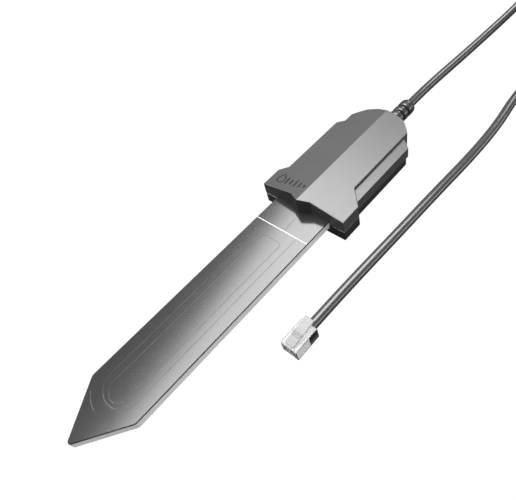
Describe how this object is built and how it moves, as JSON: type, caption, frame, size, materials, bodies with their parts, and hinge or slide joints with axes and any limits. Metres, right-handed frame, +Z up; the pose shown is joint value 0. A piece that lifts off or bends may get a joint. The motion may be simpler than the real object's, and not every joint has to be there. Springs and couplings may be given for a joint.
{
  "type": "soil moisture sensor",
  "caption": "Flat pointed blade probe for soil moisture with a ridged two-shell head, ribbed strain relief and a thin lead ending in a clear modular plug.",
  "frame": {"origin": "centre of the base of the probe's box, without its lead, on the surface that it lies on", "axes": "+X from the blade's point to the strain relief, +Y to the left seen from the point, +Z up through the head's ridge"},
  "size_m": [0.3729, 0.0804, 0.0157],
  "materials": {
    "blade_coating": "satin moulded coat with a slight reflection",
    "circuit_board": "dark green solder mask",
    "copper_foil": "etched copper",
    "white_print": "screen print",
    "head_shell": "fine matte moulded grain",
    "base_shell": "fine matte moulded grain",
    "gasket_rubber": "soft matte",
    "seal_rubber": "soft matte",
    "relief_rubber": "satin moulded rubber",
    "screw_steel": "zinc plated",
    "cord_jacket": "satin jacket",
    "chip_package": "moulded package",
    "capacitor_ceramic": "ceramic",
    "resistor_body": "ceramic with a printed film",
    "solder": "bright solder",
    "red_insulation": "smooth",
    "black_insulation": "smooth",
    "yellow_insulation": "smooth",
    "green_insulation": "smooth",
    "tie_strip": "matt strip",
    "clear_plastic": "clear polycarbonate",
    "clear_latch": "clear polycarbonate",
    "gold_contact": "gold flashed"
  },
  "bodies": {
    "probe": {"blade_skin": "blade_coating", "blade_board": "circuit_board", "sensing_electrode": "copper_foil", "guard_electrode": "copper_foil", "depth_line": "white_print", "top_cover": "head_shell", "bottom_cover": "base_shell", "cover_gasket": "gasket_rubber", "blade_seal": "seal_rubber", "strain_relief": "relief_rubber", "cover_screws": "screw_steel", "cable_jacket_end": "cord_jacket", "controller_chip": "chip_package", "oscillator_chip": "chip_package", "voltage_regulator": "chip_package", "chip_capacitors": "capacitor_ceramic", "chip_resistors": "resistor_body", "protection_diode": "chip_package", "solder_joints": "solder", "red_wire": "red_insulation", "black_wire": "black_insulation", "yellow_wire": "yellow_insulation", "green_wire": "green_insulation", "cable_lead": "cord_jacket", "cable_coil": "cord_jacket", "coil_tie": "tie_strip", "cable_return": "cord_jacket", "plug_housing": "clear_plastic", "plug_jacket_end": "cord_jacket", "plug_contacts": "gold_contact", "red_plug_wire": "red_insulation", "black_plug_wire": "black_insulation", "yellow_plug_wire": "yellow_insulation", "green_plug_wire": "green_insulation"},
    "latch": {"plug_latch": "clear_latch"}
  },
  "joints": [
    {"name": "latch_flex", "type": "hinge", "parent": "probe", "child": "latch", "pos_m": [-0.0295, -0.0386, 0.0066], "axis": [0, 1, 0], "range_deg": [0, 7], "stiffness_Nm_per_rad": 0.02}
  ]
}
